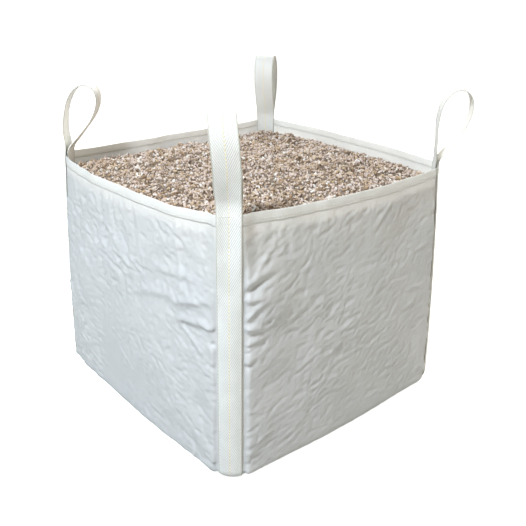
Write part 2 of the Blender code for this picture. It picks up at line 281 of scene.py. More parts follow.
def noise(seed, x, y):
    """Smooth gradient noise, from about -1 to 1, repeating every NOISE_CELLS."""
    table = np.random.default_rng(seed).uniform(0.0, 2 * np.pi, (NOISE_CELLS, NOISE_CELLS))
    x, y = np.broadcast_arrays(np.asarray(x, float) + NOISE_SHIFT, np.asarray(y, float) + NOISE_SHIFT)
    column, row = np.floor(x).astype(int), np.floor(y).astype(int)
    part_x, part_y = x - column, y - row
    total = np.zeros(x.shape)
    for step_x in (0, 1):
        for step_y in (0, 1):
            angle = table[(column + step_x) % NOISE_CELLS, (row + step_y) % NOISE_CELLS]
            away_x, away_y = part_x - step_x, part_y - step_y
            slope = np.cos(angle) * away_x + np.sin(angle) * away_y
            total += quintic(1 - np.abs(away_x)) * quintic(1 - np.abs(away_y)) * slope
    return total * NOISE_GAIN


def turned(s, z, degrees):
    """Coordinates along and across a direction, degrees up from the panel's right."""
    cosine, sine = math.cos(math.radians(degrees)), math.sin(math.radians(degrees))
    return s * cosine + z * sine, z * cosine - s * sine


def crinkle(seed, s, z, degrees, length, width):
    """Sharp small creases between soft facets, which run one way."""
    warp_s = s + WARP * noise(seed + 1, s / WARP_SPAN, z / WARP_SPAN)
    warp_z = z + WARP * noise(seed + 2, s / WARP_SPAN, z / WARP_SPAN)
    along, across = turned(warp_s, warp_z, degrees)
    facet = noise(seed, along / length, across / width)
    return CRINKLE_MEAN - np.sqrt(facet * facet + CREASE_BLUNTNESS) + CRINKLE_TILT * facet


def fold(s, z, at_s, at_z, degrees, length, width, height):
    """One crease with a crest and a shallow valley on its lower side."""
    along, across = turned(s - at_s, z - at_z, degrees)
    across = across + FOLD_BOW * along**2 / length
    crest = hump(across, width) - FOLD_VALLEY * hump(across + 1.9 * width, 1.4 * width)
    return height * crest * np.exp(-((along / (0.5 * length)) ** 4))


# each side's seed, which way its creases run, the height of its crinkles, the share of creases across them,
# and the height of the pillows beside its straps
GRAIN = {
    "front": {"seed": 11, "degrees": 16.0, "fine": 0.0040, "cross": 0.45, "seams": 0.0085},
    "left": {"seed": 23, "degrees": -20.0, "fine": 0.0058, "cross": 1.15, "seams": 0.0055},
    "right": {"seed": 37, "degrees": 14.0, "fine": 0.0034, "cross": 0.7, "seams": 0.0050},
    "back": {"seed": 53, "degrees": -16.0, "fine": 0.0034, "cross": 0.7, "seams": 0.0050},
}
SEEDED_FOLDS = 34
# folds beside the corner straps and across the panels:
# s from the side's middle, z, degrees, length, width and height
FOLDS = {
    "front": (
        (-0.385, 0.590, 24.0, 0.130, 0.010, 0.0060),
        (-0.395, 0.545, 4.0, 0.110, 0.010, 0.0055),
        (-0.375, 0.510, 34.0, 0.100, 0.008, 0.0045),
        (-0.390, 0.465, -8.0, 0.100, 0.009, 0.0055),
        (-0.372, 0.425, 14.0, 0.060, 0.007, 0.0032),
        (-0.395, 0.370, 24.0, 0.070, 0.009, 0.0030),
        (-0.340, 0.640, 48.0, 0.110, 0.007, 0.0026),
        (-0.300, 0.480, 40.0, 0.070, 0.007, 0.0016),
    ),
    "left": (
        (0.360, 0.452, 8.0, 0.170, 0.011, 0.0072),
        (0.335, 0.505, 18.0, 0.160, 0.010, 0.0056),
        (0.340, 0.395, -26.0, 0.120, 0.009, 0.0052),
        (0.150, 0.470, 14.0, 0.240, 0.014, 0.0050),
        (0.240, 0.560, 9.0, 0.200, 0.012, 0.0046),
        (-0.050, 0.560, -32.0, 0.220, 0.014, 0.0048),
        (-0.360, 0.555, -42.0, 0.120, 0.008, 0.0024),
        (-0.330, 0.470, -35.0, 0.160, 0.010, 0.0022),
        (-0.250, 0.430, -28.0, 0.200, 0.011, 0.0020),
        (0.060, 0.330, -58.0, 0.110, 0.006, 0.0018),
        (0.230, 0.190, -62.0, 0.090, 0.006, 0.0020),
        (-0.020, 0.640, -38.0, 0.140, 0.009, 0.0018),
        (0.250, 0.640, 12.0, 0.260, 0.024, 0.0034),
        (-0.290, 0.230, 84.0, 0.480, 0.085, 0.0100),
        (-0.100, 0.480, 30.0, 0.500, 0.080, 0.0050),
    ),
    "right": (),
    "back": (),
}
# where the load pushes the cloth out beside a strap: which end of the side, z, its spread and its height
SHELVES = {
    "front": ((-1.0, 0.53, 0.085, 0.0150), (-1.0, 0.36, 0.05, 0.0050)),
    "left": ((1.0, 0.50, 0.05, 0.0070), (-1.0, 0.30, 0.12, 0.0060)),
    "right": ((1.0, 0.45, 0.10, 0.0060),),
    "back": ((-1.0, 0.45, 0.10, 0.0060),),
}
SHELF_REACH = 0.085
SHELF_FALL = 0.075
# how far the cloth beside a corner strap is filled out near the rim, where the webbing pulls the corner flat
CORNER_FILL = {"front_left": 0.0125, "front_right": 0.0030, "back_right": 0.0060, "back_left": 0.0010}
LEAST_LIFT = -0.0035


def rim_wave(side, s):
    """How far the rim wanders in and out along a side."""
    seed = GRAIN[side]["seed"]
    ends = smooth((HALF_SIDE[side] - np.abs(s) - 0.03) / 0.10)
    return ends * (0.0058 * noise(seed + 5, s / 0.15, 0.3) + 0.0026 * noise(seed + 6, s / 0.05, 0.7))


def low_relief(side, s, z, rim):
    """The broad shape that straps, hems and panels share."""
    seed = GRAIN[side]["seed"]
    corner = HALF_SIDE[side] - np.abs(s)
    drop = rim - z
    start, end = (CORNER_FILL[name] for name in SIDE_ENDS[side])
    fill = np.where(s < 0, start, end) * hump(corner - 0.038, 0.020) * smooth(1 - drop / 0.36)
    inside = smooth((corner - 0.05) / 0.12) * smooth(z / 0.12)
    broad = 0.0042 * noise(seed + 3, s / 0.30, z / 0.24) + 0.0022 * noise(seed + 4, s / 0.13, z / 0.11)
    wave = rim_wave(side, s) * faded(drop, 0.09)
    return fill + broad * inside * smooth(drop / 0.12 + 0.25) + wave


def soft_floor(lift, least):
    """Lift that levels out softly at least, so that the cloth stays outside the gravel."""
    room = lift - least
    return least + (room + np.sqrt(room * room + 1e-6)) / 2


def seeded_folds(side, s, z):
    """Small creases scattered over a panel, all seeded."""
    grain = GRAIN[side]
    random = np.random.default_rng(grain["seed"] + 100)
    total = np.zeros(s.shape)
    for _ in range(SEEDED_FOLDS):
        at_s = random.uniform(-0.42, 0.42)
        at_z = random.uniform(0.05, 0.70)
        degrees = grain["degrees"] + random.normal(0.0, 13.0)
        length = random.uniform(0.04, 0.13)
        width = random.uniform(0.0035, 0.0075)
        height = random.uniform(0.0010, 0.0030) * random.choice([1.0, -0.6])
        total += fold(s, z, at_s, at_z, degrees, length, width, height)
    return total


def fine_relief(side, s, z, rim):
    """Creases, puckers and pillows of a panel, which fade out under its straps and hem."""
    grain = GRAIN[side]
    seed = grain["seed"]
    corner = HALF_SIDE[side] - np.abs(s)
    drop = rim - z
    beyond = corner - FREE_FROM
    free = smooth(beyond / 0.014)
    below_hem = smooth((drop - HEM_HEIGHT) / 0.030)
    above_base = smooth(z / 0.05)

    pillow = grain["seams"] * smooth(beyond / 0.022) * hump(beyond, 0.10) * smooth((drop - 0.05) / 0.12)
    rows = noise(seed + 7 + (s > 0), z / 0.030, s / 0.12)
    seam_puckers = 0.0030 * rows * faded(beyond, 0.030)
    hem_puckers = 0.0016 * noise(seed + 9, s / 0.024, z / 0.10) * faded(drop - HEM_HEIGHT, 0.035)
    base_puckers = 0.0016 * noise(seed + 10, s / 0.035, z / 0.12) * faded(z, 0.05)
    fan_s, fan_z = corner, z - 0.02
    fan = np.arctan2(fan_z, np.maximum(fan_s, 1e-4))
    radial = 0.0028 * np.sin(9.0 * fan + 2.0 * (s > 0)) * np.exp(-np.hypot(fan_s - 0.05, fan_z) / 0.055)

    strength = 0.75 + 0.5 * noise(seed + 12, s / 0.22, z / 0.22)
    small = crinkle(seed + 20, s, z, grain["degrees"], 0.046, 0.019)
    smaller = crinkle(seed + 30, s, z, grain["degrees"] + 28.0, 0.026, 0.012)
    cross = crinkle(seed + 40, s, z, grain["degrees"] - 65.0, 0.110, 0.042)
    crinkles = grain["fine"] * strength * (small + 0.6 * smaller + grain["cross"] * cross)
    single = seeded_folds(side, s, z)
    for values in FOLDS[side]:
        single = single + fold(s, z, *values)
    shelf = 0.0
    for start_side, at_z, spread, height in SHELVES[side]:
        away = np.where(s * start_side > 0, beyond, 1.0)
        rise = smooth(away / SHELF_REACH) * hump(np.maximum(away - SHELF_REACH, 0.0), SHELF_FALL)
        shelf = shelf + height * rise * hump(z - at_z, spread)
    pressed = pillow + shelf + seam_puckers + hem_puckers + radial + base_puckers * above_base
    return free * below_hem * (pressed + crinkles + single)


def panel_relief(side, s, z, rim):
    """All the relief of a panel."""
    return low_relief(side, s, z, rim) + fine_relief(side, s, z, rim)


# ---- meshes ----
def slab_faces(rows, columns, closed=False):
    """Quads of a grid's two layers and of its edges, facing out; closed joins last column to first."""
    index = np.arange(rows * columns).reshape(rows, columns)
    wide = np.concatenate([index, index[:, :1]], axis=1) if closed else index
    a, b, c, d = wide[:-1, :-1], wide[:-1, 1:], wide[1:, 1:], wide[1:, :-1]
    front = np.stack([a, b, c, d], axis=-1).reshape(-1, 4)
    back = front[:, ::-1] + rows * columns
    loops = [wide[0], wide[-1, ::-1]]
    if not closed:
        loops = [np.concatenate([wide[0], wide[1:, -1], wide[-1, -2::-1], wide[-2::-1, 0]])]
    edges = []
    for loop in loops:
        start, end = loop[:-1], loop[1:]
        edges.append(np.stack([end, start, start + rows * columns, end + rows * columns], axis=-1))
    return np.concatenate([front, back, *edges])


def add_mesh(name, points, faces, uv=None, smooth_faces=True, values=None):
    """A mesh object. uv is one pair for each point; values holds float attributes on points."""
    mesh = bpy.data.meshes.new(name)
    faces = faces if isinstance(faces, list) else faces.tolist()
    mesh.from_pydata(np.asarray(points).reshape(-1, 3).tolist(), [], faces)
    if uv is not None:
        corner = np.zeros(len(mesh.loops), np.int32)
        mesh.loops.foreach_get("vertex_index", corner)
        layer = mesh.uv_layers.new(name="cloth")
        layer.data.foreach_set("uv", np.asarray(uv, np.float32).reshape(-1, 2)[corner].ravel())
    for key, data in (values or {}).items():
        attribute = mesh.attributes.new(key, "FLOAT", "POINT")
        attribute.data.foreach_set("value", np.asarray(data, np.float32).ravel())
    mesh.polygons.foreach_set("use_smooth", [smooth_faces] * len(mesh.polygons))
    mesh.update()
    return link_object(name, mesh)


def add_slab(name, outer, inner, uv, closed=False):
    """A mesh of two layers of a grid of points, joined round their edges."""
    faces = slab_faces(*outer.shape[:2], closed)
    return add_mesh(name, np.array([outer, inner]), faces, np.array([uv, uv]))


def finish_piece(piece, body, material, nodes):
    """Material, body and the CAD nodes that a piece stands for."""
    piece.data.materials.append(material)
    if body:
        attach(piece, body)
    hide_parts(*nodes)
    return piece


# ---- materials ----
class Nodes:
    """A small helper that adds and links shader nodes."""

    def __init__(self, name):
        self.material = bpy.data.materials.new(name)
        self.material.use_nodes = True
        self.tree = self.material.node_tree
        self.shader = self.tree.nodes["Principled BSDF"]
        self.output = self.tree.nodes["Material Output"]

    def add(self, kind, inputs=None, **settings):
        node = self.tree.nodes.new("ShaderNode" + kind)
        for key, value in settings.items():
            setattr(node, key, value)
        for key, value in (inputs or {}).items():
            if isinstance(value, bpy.types.NodeSocket):
                self.tree.links.new(value, node.inputs[key])
            else:
                node.inputs[key].default_value = value
        return node

    def math(self, operation, first, second=0.0):
        return self.add("Math", {0: first, 1: second}, operation=operation).outputs[0]

    def times(self, first, second):
        return self.math("MULTIPLY", first, second)

    def plus(self, first, second):
        return self.math("ADD", first, second)

    def wave(self, place, pitch):
        return self.math("SINE", self.times(place, 2 * math.pi / pitch))

    def noise(self, vector, scale, detail, roughness=0.5):
        inputs = {"Vector": vector, "Scale": scale, "Detail": detail, "Roughness": roughness}
        return self.add("TexNoise", inputs).outputs["Fac"]

    def mix(self, factor, first, second):
        inputs = {"Factor": factor, "A": first, "B": second}
        return self.add("Mix", inputs, data_type="RGBA").outputs["Result"]

    def cloth_place(self):
        """The place on the cloth in metres, as a vector and as its two coordinates."""
        uv = self.add("UVMap", uv_map="cloth").outputs["UV"]
        parts = self.add("SeparateXYZ", {"Vector": uv}).outputs
        return uv, parts["X"], parts["Y"]

    def surface(self, colour, height, strength, depth, specular):
        """Base colour, bump and shine of the shader. It gives back the bumped normal."""
        inputs = {"Height": height, "Strength": strength, "Distance": depth}
        normal = self.add("Bump", inputs).outputs["Normal"]
        self.link(colour, self.shader.inputs["Base Color"])
        self.link(normal, self.shader.inputs["Normal"])
        self.shader.inputs["Specular IOR Level"].default_value = specular
        return normal

    def link(self, source, target):
        self.tree.links.new(source, target)

    def ramp(self, factor, stops):
        node = self.add("ValToRGB", {"Fac": factor})
        while len(node.color_ramp.elements) < len(stops):
            node.color_ramp.elements.new(0.5)
        for element, (place, colour) in zip(node.color_ramp.elements, stops):
            element.position = place
            element.color = (*colour, 1.0)
        return node.outputs["Color"]


BLACK = (0.0, 0.0, 0.0)
WHITE = (1.0, 1.0, 1.0)
WEAVE_PITCH = 0.0052
TAPES_ACROSS = 180.0
TAPES_ALONG = 3.0
# a cream tint mixed in patches towards the top of the panels, near the rim
RIM_CREAM_TONE = (0.93, 0.885, 0.80, 1.0)
RIM_CREAM_SHARE = 0.22
# painted shade along the webbing's edges: its width, colour and strength
EDGE_SHADE_WIDTH = 0.0030
EDGE_SHADE_TONE = (0.50, 0.49, 0.42, 1.0)
EDGE_SHADE_SHARE = 0.8
MARKER_HALF_WIDTH = 0.0011
MARKER_PITCH = 0.0105
MARKER_TONE = (0.86, 0.74, 0.42, 1.0)
YARN_PITCH = 0.0024
# painted light: the loop is coloured lighter round its crest. Where the crest lies along the webbing, how far
# the lighter colour reaches and how fast it ramps in
LOOP_CREST_AT = 1.04
LOOP_PAINTED_LIGHT_REACH = 0.33
LOOP_PAINTED_LIGHT_RAMP = 8.0
GRAVEL_TONES = (
    (0.00, (0.120, 0.075, 0.045)),
    (0.14, (0.260, 0.175, 0.110)),
    (0.30, (0.430, 0.300, 0.180)),
    (0.42, (0.560, 0.440, 0.370)),
    (0.52, (0.640, 0.490, 0.310)),
    (0.60, (0.680, 0.560, 0.500)),
    (0.74, (0.720, 0.600, 0.550)),
    (0.86, (0.800, 0.710, 0.640)),
    (1.00, (0.900, 0.880, 0.850)),
)


def cloth_material(name, light, dark, see_through, roughness):
    """Woven polypropylene tape cloth: weave, faint tape tone, a cream tint in patches near the rim, crinkle
    and a little light through it.
    """
    n = Nodes(name)
    uv, u, v = n.cloth_place()
    broad = n.noise(uv, 7.0, 3.0, 0.55)
    small = n.noise(uv, 75.0, 4.0, 0.6)
    tapes = []
    for scale_u, scale_v in ((TAPES_ACROSS, TAPES_ALONG), (TAPES_ALONG, TAPES_ACROSS)):
        stretched = n.add("CombineXYZ", {"X": n.times(u, scale_u), "Y": n.times(v, scale_v)}).outputs[0]
        tapes.append(n.noise(stretched, 1.0, 1.0))
    tone = n.plus(n.times(broad, 0.5), n.times(n.plus(*tapes), 0.25))
    colour = n.ramp(tone, ((0.30, dark), (0.70, light)))
    # cream tint in patches, stronger towards the rim
    near_rim = n.ramp(n.plus(v, n.times(broad, 0.35)), ((0.74, BLACK), (0.92, WHITE)))
    colour = n.mix(n.times(near_rim, RIM_CREAM_SHARE), colour, RIM_CREAM_TONE)
    weave = n.times(n.times(n.wave(u, WEAVE_PITCH), n.wave(v, WEAVE_PITCH)), 0.22)
    normal = n.surface(colour, n.plus(weave, n.times(small, 1.6)), 0.55, 0.0006, 0.35)
    n.link(n.plus(n.times(small, 0.25), roughness - 0.12), n.shader.inputs["Roughness"])
    glow = n.add("BsdfTranslucent", {"Color": colour, "Normal": normal})
    mixed = n.add("MixShader", {"Fac": see_through, 1: n.shader.outputs[0], 2: glow.outputs[0]})
    n.link(mixed.outputs[0], n.output.inputs["Surface"])
    return n.material


def webbing_material():
    """Herringbone webbing: twill ribs, painted shade along its edges, a dashed pale yellow marker yarn, and
    painted light that makes the loop lighter round its crest.
    """
    n = Nodes("webbing_herringbone")
    uv, u, v = n.cloth_place()
    off = n.math("ABSOLUTE", u)
    slant = n.math("DIVIDE", v, RIB_PITCH * RIB_STEEPNESS)
    rib = n.wave(n.math("SUBTRACT", n.math("DIVIDE", off, RIB_PITCH), slant), 1.0)
    grain = n.noise(uv, 260.0, 3.0)
    broad = n.noise(uv, 14.0, 2.0)
    tone = n.plus(n.times(rib, 0.26), n.plus(n.times(grain, 0.35), n.times(broad, 0.5)))
    # the webbing's own colour, then a lighter copy of it that is painted light on the loop round its crest
    strap_colour = n.ramp(tone, ((0.18, (0.60, 0.605, 0.58)), (0.62, (0.86, 0.865, 0.845))))
    painted_lit_loop_colour = n.ramp(tone, ((0.12, (0.60, 0.595, 0.565)), (0.58, (0.85, 0.845, 0.81))))
    from_crest = n.math("ABSOLUTE", n.math("SUBTRACT", v, LOOP_CREST_AT))
    colour = n.mix(n.times(n.math("SUBTRACT", LOOP_PAINTED_LIGHT_REACH, from_crest), LOOP_PAINTED_LIGHT_RAMP), strap_colour, painted_lit_loop_colour)
    # painted shade: the webbing's edges are coloured darker
    painted_edge_shade = n.math("GREATER_THAN", off, WEB_WIDTH / 2 - EDGE_SHADE_WIDTH)
    colour = n.mix(n.times(painted_edge_shade, EDGE_SHADE_SHARE), colour, EDGE_SHADE_TONE)
    dashes = n.math("GREATER_THAN", n.wave(v, MARKER_PITCH), -0.35)
    colour = n.mix(n.times(n.math("LESS_THAN", off, MARKER_HALF_WIDTH), dashes), colour, MARKER_TONE)
    yarns = n.times(n.wave(v, YARN_PITCH), 0.2)
    n.surface(colour, n.plus(n.times(rib, 0.5), n.plus(yarns, n.times(grain, 0.5))), 0.9, 0.0006, 0.3)
    n.shader.inputs["Roughness"].default_value = 0.62
    n.shader.inputs["Sheen Weight"].default_value = 0.15
    return n.material


def thread_material():
    """Off-white sewing thread."""
    n = Nodes("sewing_thread")
    grain = n.noise(n.add("TexCoord").outputs["Object"], 900.0, 2.0)
    n.surface(n.ramp(grain, ((0.3, (0.80, 0.78, 0.70)), (0.7, (0.92, 0.91, 0.86)))), grain, 0.5, 0.0002, 0.5)
    n.shader.inputs["Roughness"].default_value = 0.55
    return n.material


def gravel_material(name, shade):
    """Mixed small stones: each has a tone of its own, with fine mottling on its faces. The second argument
    scales every tone: for the stones it is their own brightness, for the bed under them it is painted shade.
    """
    n = Nodes(name)
    tone = n.add("Attribute", attribute_name="tone").outputs["Fac"]
    fine = n.noise(n.add("TexCoord").outputs["Object"], 420.0, 3.0)
    mixed = n.plus(tone, n.times(n.math("SUBTRACT", fine, 0.5), 0.22))
    stops = [(place, tuple(shade * value for value in colour)) for place, colour in GRAVEL_TONES]
    n.surface(n.ramp(mixed, stops), fine, 0.6, 0.0006, 0.4)
    n.link(n.plus(n.times(fine, 0.3), 0.6), n.shader.inputs["Roughness"])
    return n.material


PANEL_CLOTH = cloth_material("panel_cloth", (0.92, 0.925, 0.925), (0.83, 0.84, 0.845), 0.42, 0.50)
HEM_CLOTH_LOOK = cloth_material("hem_cloth", (0.975, 0.975, 0.965), (0.94, 0.94, 0.925), 0.52, 0.52)
WEBBING = webbing_material()
THREAD = thread_material()
# the bed under the loose stones is coloured dark: painted shade in the gaps between stones
SHADED_GRAVEL_BED = gravel_material("gravel_bed", 0.38)
GRAVEL_STONES = gravel_material("gravel_stones", 0.90)


# ---- cloth panels ----
def side_columns(side, spacing=CELL):
    """Arc lengths from a side's middle at even steps, and their plan angles."""
    angles, lengths = RULERS[side]
    half = HALF_SIDE[side] - SIDE_TRIM
    s = np.linspace(-half, half, int(round(2 * half / spacing)) + 1)
    return s, np.interp(s, lengths, angles)


ROLL_STEPS = 9
PANEL_START_TURN = 4.0


def add_panel(side):
    """One side panel, from the base round the bottom roll and up into the hem."""
    s, angle = side_columns(side)
    rim = rim_heights(angle)
    turns = np.linspace(PANEL_START_TURN, 90.0, ROLL_STEPS)
    wall_rows = int(round((rim.mean() - BOTTOM_RADIUS) / CELL))
    shares = np.linspace(0.0, 1.0, wall_rows + 1)[1:]
    layers = []
    lengths = []
    for depth in (0.0, CLOTH):
        rows = []
        for turn in turns:
            height = BOTTOM_RADIUS * (1 - math.cos(math.radians(turn)))
            lift = panel_relief(side, s, height, rim)
            settled = soft_floor(lift, 0.0) * smooth(turn / 90.0)
            rows.append(roll_points(angle, turn, settled - depth))
            if depth == 0.0:
                lengths.append(np.full(s.shape, BOTTOM_RADIUS * math.radians(turn)))
        for share in shares:
            height = BOTTOM_RADIUS + share * (rim - PANEL_DROP - BOTTOM_RADIUS)
            lift = panel_relief(side, s, height, rim)
            start = smooth((height - BOTTOM_RADIUS) / 0.06)
            lift = soft_floor(lift, 0.0) * (1 - start) + soft_floor(lift, LEAST_LIFT) * start
            rows.append(wall_points(angle, height, lift - depth))
            if depth == 0.0:
                lengths.append(height + BOTTOM_RADIUS * (math.pi / 2 - 1))
        layers.append(np.array(rows))
    uv = np.stack([np.broadcast_to(s, layers[0].shape[:2]), np.array(lengths)], axis=-1)
    made = add_slab(f"{side}_cloth", *layers, uv)
    return finish_piece(made, "bag", PANEL_CLOTH, [f"{side}_panel"])


def hem_profile():
    """(lift, drop below the rim) along the hem's outer and inner faces: up outside, over and down inside.

    The cloth folds over to the outside, so that inside the bag its face runs straight on from the panel's.
    """
    outside = np.linspace(HEM_HEIGHT, HEM_FLAT_DROP, HEM_ROWS)
    inside = np.linspace(HEM_FLAT_DROP, HEM_INNER_DROP, HEM_ROWS)
    contours = []
    eased = 0.3 + 0.7 * smooth((HEM_HEIGHT - outside) / 0.012)
    for right, left in ((HEM_AIR + HEM_CLOTH, -CLOTH), (HEM_AIR, 0.0)):
        middle, radius = (right + left) / 2, (right - left) / 2
        arc = []
        for turn in HEM_FOLD_TURNS:
            arc.append((middle + radius * math.cos(turn), HEM_FOLD_DROP - radius * math.sin(turn)))
        wing = [(right * ease, drop) for ease, drop in zip(eased, outside)]
        contours.append(np.array(wing + arc + [(left, drop) for drop in inside]))
    return contours


def add_hem(side):
    """The folded hem along one side's rim."""
    s, angle = side_columns(side)
    rim = rim_heights(angle)
    seed = GRAIN[side]["seed"]
    outer, inner = hem_profile()
    layers = []
    for contour in (outer, inner):
        rows = []
        for lift, drop in contour:
            height = rim - drop
            pressed = sum(hump(drop - row, 0.0022) for row in HEM_STITCH_ROWS)
            ripple = 0.00045 * noise(seed + 60, s / 0.012, drop / 0.02)
            ripple = ripple + 0.0008 * noise(seed + 61, s / 0.045, drop / 0.03)
            ripple = ripple * smooth(drop / 0.012) * smooth((HALF_SIDE[side] - np.abs(s) - FREE_FROM) / 0.012)
            swell = (0.0003 * (1 - pressed) + ripple) * smooth(drop / 0.008)
            outside = 1.0 if lift > 0.0001 else 0.0
            total = low_relief(side, s, height, rim) + lift + outside * np.maximum(swell, -0.0001)
            rows.append(wall_points(angle, height, total))
        layers.append(np.array(rows))
    lengths = running_lengths(*outer.T)
    uv = np.stack(np.broadcast_arrays(s[None, :], lengths[:, None]), axis=-1)
    made = add_slab(f"{side}_hem_fold", *layers, uv)
    return finish_piece(made, "bag", HEM_CLOTH_LOOK, [f"{side}_hem"])


# ---- sewing thread ----
THREAD_SIDES = 6
THREAD_RINGS = ((-0.5, 0.35), (-0.42, 0.85), (-0.2, 1.0), (0.2, 1.0), (0.42, 0.85), (0.5, 0.35))


def stitch_mesh(starts, ends, outs, radius):
    """Points and faces of many short threads, each rounded at its ends and lying on its cloth."""
    starts, ends, outs = (np.asarray(part, float) for part in (starts, ends, outs))
    middle = (starts + ends) / 2
    along = ends - starts
    outs = outs / np.linalg.norm(outs, axis=1)[:, None]
    beside = np.cross(along / np.linalg.norm(along, axis=1)[:, None], outs)
    turns = np.arange(THREAD_SIDES) * 2 * np.pi / THREAD_SIDES
    rings = []
    for place, size in THREAD_RINGS:
        sunk = middle + along * place - outs * radius * (1 - size) * 0.8
        ring = []
        for turn in turns:
            away = beside * math.cos(turn) * 1.15 + outs * math.sin(turn)
            ring.append(sunk + radius * size * away)
        rings.append(np.stack(ring, axis=1))
    points = np.stack(rings, axis=1)
    count, levels = len(middle), len(THREAD_RINGS)
    index = np.arange(levels * THREAD_SIDES).reshape(levels, THREAD_SIDES)
    after = np.roll(index, -1, axis=1)
    quads = np.stack([index[:-1], after[:-1], after[1:], index[1:]], axis=-1).reshape(-1, 4)
    faces = [list(face[::-1]) for face in quads] + [list(index[0]), list(index[-1][::-1])]
    every = []
    for number in range(count):
        shift = number * levels * THREAD_SIDES
        every.extend([[corner + shift for corner in face] for face in faces])
    return points.reshape(-1, 3), every


def add_threads(name, runs, nodes):
    """Rows of separate stitches: each run is a line of points with the outward direction at each."""
    starts, ends, outs = [], [], []
    for points, outward in runs:
        lengths = running_lengths(*points.T)
        places = np.arange(0.0, lengths[-1] - STITCH_LENGTH, STITCH_LENGTH + STITCH_GAP)
        for place in places:
            for found, line, share in ((starts, points, 0.0), (ends, points, 1.0), (outs, outward, 0.5)):
                at = place + share * STITCH_LENGTH
                found.append([np.interp(at, lengths, line[:, axis]) for axis in range(3)])
    made = add_mesh(name, *stitch_mesh(starts, ends, outs, THREAD_RADIUS))
    return finish_piece(made, "bag", THREAD, nodes)


def outward_of(points):
    """Level outward directions along a line of points that runs round the bag or up it."""
    flat = np.array(points)
    flat[:, 2] = 0.0
    return flat / np.linalg.norm(flat, axis=1)[:, None]


def add_hem_threads(side):
    """Two rows of stitches that hold a hem down, seen on its outside and on its inside."""
    s, angle = side_columns(side, 0.004)
    keep = np.abs(s) < HALF_SIDE[side] - 0.040
    s, angle = s[keep], angle[keep]
    rim = rim_heights(angle)
    proud = HEM_AIR + HEM_CLOTH
    normal = np.array([math.cos(math.radians(SIDES[side])), math.sin(math.radians(SIDES[side])), 0.0])
    runs = []
    for drop in HEM_STITCH_ROWS:
        height = rim - drop
        for lift, sign in ((proud + 0.0002, 1.0), (-CLOTH - 0.0002, -1.0)):
            line = wall_points(angle, height, low_relief(side, s, height, rim) + lift)
            runs.append((line, np.broadcast_to(normal * sign, line.shape)))
    return add_threads(f"{side}_hem_threads", runs, [f"{side}_hem_stitching"])


# ---- corner webbing and lifting loops ----
CORNER_SIDES = {
    "front_left": ("left", "front"),
    "front_right": ("front", "right"),
    "back_right": ("right", "back"),
    "back_left": ("back", "left"),
}


def corner_top(corner):
    """Height of the rim at a corner."""
    return float(rim_heights(np.array(CORNERS[corner])))


def angles_across(corner, acrosses, height, lift):
    """Plan angles at these distances from a corner's middle, along the outline at one height."""
    fine = np.linspace(-CORNER_SPAN, CORNER_SPAN, CORNER_STEPS) + CORNERS[corner]
    lengths = running_lengths(*plan_points(fine, height / rim_heights(fine), lift))
    return np.interp(acrosses + lengths[len(fine) // 2], lengths, fine)


def corner_rows(corner, acrosses, heights, lift):
    """Rows of points wrapped on a corner at these heights and distances from its middle."""
    rows = []
    for height, extra in zip(heights, np.broadcast_to(lift, np.shape(heights))):
        angle = angles_across(corner, acrosses, height, extra)
        relief = strap_relief(corner, acrosses, height, rim_heights(angle))
        rows.append(wall_points(angle, np.full(angle.shape, height), extra + relief))
    return np.array(rows)


def strap_relief(corner, acrosses, height, rim):
    """The broad relief of the two panels that a corner strap lies on."""
    before, after = CORNER_SIDES[corner]
    left = low_relief(before, HALF_SIDE[before] - np.abs(acrosses), height, rim)
    right = low_relief(after, -(HALF_SIDE[after] - np.abs(acrosses)), height, rim)
    return np.where(acrosses < 0, left, right)


def corner_frame(corner):
    """A loop's pivot, the outward direction and the direction across the webbing."""
    angle = CORNERS[corner]
    top = corner_top(corner)
    ahead = wall_points(np.array(angle + 2.0), top, -CAD_FABRIC / 2)
    behind = wall_points(np.array(angle - 2.0), top, -CAD_FABRIC / 2)
    across = ahead - behind
    across[2] = 0.0
    across /= np.linalg.norm(across)
    outward = np.cross(across, [0.0, 0.0, 1.0])
    pivot = wall_points(np.array(angle), top, -CAD_FABRIC / 2) + np.array([0.0, 0.0, LOOP_PIVOT_RISE])
    return pivot, outward, across


def loop_rows(corner):
    """Centre line, width direction, normal and height of a loop, from its outer root to its inner one."""
    shape = LOOPS[corner]
    pivot, outward, across = corner_frame(corner)
    up = np.array([0.0, 0.0, 1.0])
    turns = np.linspace(0.0, 2 * np.pi, LOOP_POINTS)
    bow = np.sin(turns) * np.abs(np.sin(turns / 2)) ** LOOP_POWER
    opening = (shape["half_gap"] - WEB_THICKNESS / 2) * bow / bow.max()
    opening = opening + LOOP_LEG_OFFSET * np.sign(np.pi - turns) * np.cos(turns / 2) ** 2
    rise = LOOP_LENGTH * (1 - np.cos(turns)) / 2
    lean = math.radians(shape["lean"])
    out = opening * math.cos(lean) + rise * math.sin(lean)
    high = rise * math.cos(lean) - opening * math.sin(lean)
    lengths = running_lengths(out, high)
    even = np.linspace(0.0, lengths[-1], int(round(lengths[-1] / WEB_STEP)) + 1)
    out, high = np.interp(even, lengths, out), np.interp(even, lengths, high)
    go = np.stack([np.gradient(out), np.gradient(high)], axis=1)
    go /= np.linalg.norm(go, axis=1)[:, None]
    yaw = math.radians(shape["yaw"]) * smooth(high / LOOP_YAW_RISE)
    side = out * np.sin(yaw) + shape["side"] * (np.maximum(high, 0.0) / LOOP_LENGTH) ** LOOP_SIDE_POWER
    heading = outward * np.cos(yaw)[:, None] + across * np.sin(yaw)[:, None]
    width = across * np.cos(yaw)[:, None] - outward * np.sin(yaw)[:, None]
    centre = pivot + outward * (out * np.cos(yaw))[:, None] + across * side[:, None] + up * high[:, None]
    normal = heading * go[:, 1:] - up * go[:, :1]
    return centre, width, normal, high


